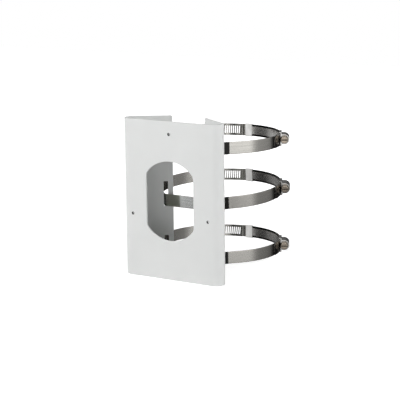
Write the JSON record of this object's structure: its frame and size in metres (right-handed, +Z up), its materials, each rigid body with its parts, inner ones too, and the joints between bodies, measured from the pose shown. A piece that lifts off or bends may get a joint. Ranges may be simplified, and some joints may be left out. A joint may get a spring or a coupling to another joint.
{
  "type": "camera pole mount bracket",
  "caption": "Folded sheet channel with a camera face and cable window, held to a round pole by worm-drive band clamps threaded through slots in its flanges.",
  "frame": {"origin": "on the axis of the pole that the clamps close on, level with the middle of the channel's height", "axes": "+Z up along the pole, -Y towards the camera face, +X to the right as seen from the camera"},
  "size_m": [0.1497, 0.1819, 0.18],
  "materials": {
    "white_powder_coat": "smooth satin white powder coat on folded steel sheet",
    "band_steel": "bright rolled stainless strip, brushed along its length",
    "housing_steel": "pressed stainless housing, dull",
    "screw_steel": "plated worm screw with a slotted hexagon head"
  },
  "bodies": {
    "bracket_and_clamps": {"bracket": "white_powder_coat", "top_band": "band_steel", "top_liner": "band_steel", "top_housing": "housing_steel", "middle_band": "band_steel", "middle_liner": "band_steel", "middle_housing": "housing_steel", "bottom_band": "band_steel", "bottom_liner": "band_steel", "bottom_housing": "housing_steel"},
    "top_screw": {"top_screw": "screw_steel"},
    "middle_screw": {"middle_screw": "screw_steel"},
    "bottom_screw": {"bottom_screw": "screw_steel"}
  },
  "joints": [
    {"name": "top_screw_turn", "type": "hinge", "parent": "bracket_and_clamps", "child": "top_screw", "pos_m": [0.06671, 0.03547, 0.05575], "axis": [0.4695, -0.8829, 0], "continuous": true},
    {"name": "middle_screw_turn", "type": "hinge", "parent": "bracket_and_clamps", "child": "middle_screw", "pos_m": [0.06762, 0.03544, -0.00161], "axis": [0.4695, -0.8817, -0.0462], "continuous": true},
    {"name": "bottom_screw_turn", "type": "hinge", "parent": "bracket_and_clamps", "child": "bottom_screw", "pos_m": [0.06671, 0.03547, -0.07025], "axis": [0.4695, -0.8829, 0], "continuous": true}
  ]
}
